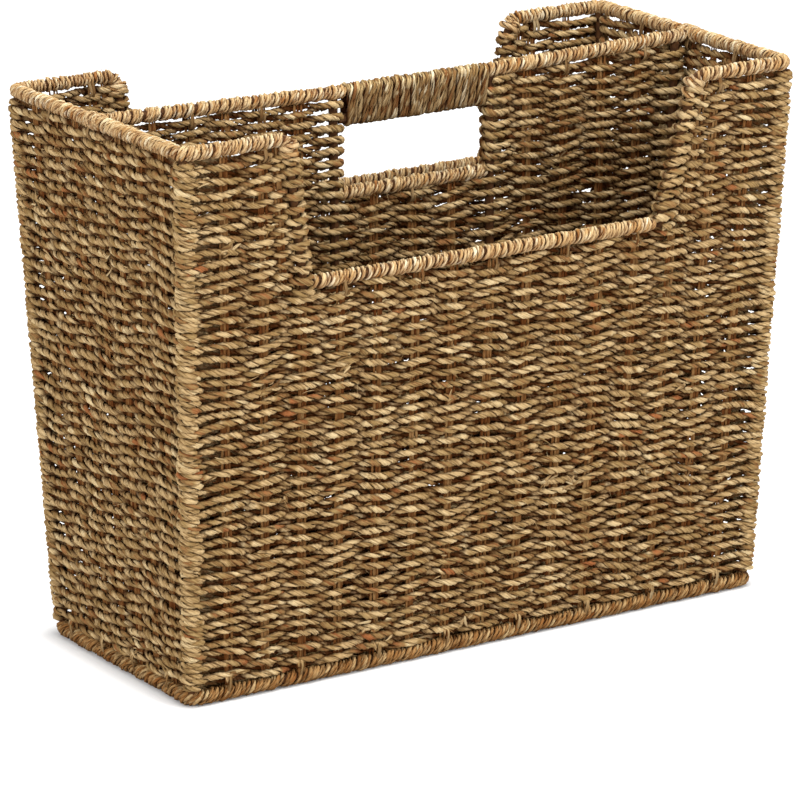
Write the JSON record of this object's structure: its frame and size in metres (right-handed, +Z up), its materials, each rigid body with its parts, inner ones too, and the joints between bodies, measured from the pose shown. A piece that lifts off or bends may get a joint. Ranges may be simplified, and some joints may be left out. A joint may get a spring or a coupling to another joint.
{
  "type": "magazine basket",
  "caption": "Open-topped woven basket for magazines, with leaning walls, a cut-away front and back, a central divider and a strand-wrapped grip over a hand opening.",
  "frame": {"origin": "on the floor, under the middle of the basket", "axes": "+X along the length to the right as seen from the front, +Y towards the back, +Z up"},
  "size_m": [0.4088, 0.1956, 0.3231],
  "materials": {
    "frame_wire": "bent steel wire with a thin brown coat, hidden under the strands",
    "seagrass_weave": "dried seagrass twisted into two-ply cord and woven, matt with a faint sheen",
    "rim_strand": "pale golden seagrass strand wound tightly round the rim wires",
    "base_strand": "caramel brown seagrass strand wound round the base ring",
    "grip_strand": "flat olive tan seagrass strand wound side by side over the grip"
  },
  "bodies": {
    "root": {"base_ring_wire": "frame_wire", "corner_post_front_left": "frame_wire", "corner_post_front_right": "frame_wire", "corner_post_back_left": "frame_wire", "corner_post_back_right": "frame_wire", "end_rim_wire_left": "frame_wire", "end_rim_wire_right": "frame_wire", "low_rim_wire_front": "frame_wire", "low_rim_wire_back": "frame_wire", "divider_rim_wire": "frame_wire", "divider_base_wire": "frame_wire", "divider_end_post_left": "frame_wire", "divider_end_post_right": "frame_wire", "opening_upright_left": "frame_wire", "opening_upright_right": "frame_wire", "opening_sill_wire": "frame_wire", "grip_lower_wire": "frame_wire", "woven_wall_front": "seagrass_weave", "woven_wall_back": "seagrass_weave", "woven_wall_left": "seagrass_weave", "woven_wall_right": "seagrass_weave", "woven_divider": "seagrass_weave", "woven_base": "seagrass_weave", "end_rim_binding_left": "rim_strand", "end_rim_binding_right": "rim_strand", "low_rim_binding_front": "rim_strand", "low_rim_binding_back": "rim_strand", "divider_rim_binding_left": "rim_strand", "divider_rim_binding_right": "rim_strand", "opening_sill_binding": "rim_strand", "base_binding": "base_strand", "grip_winding": "grip_strand"}
  },
  "joints": []
}
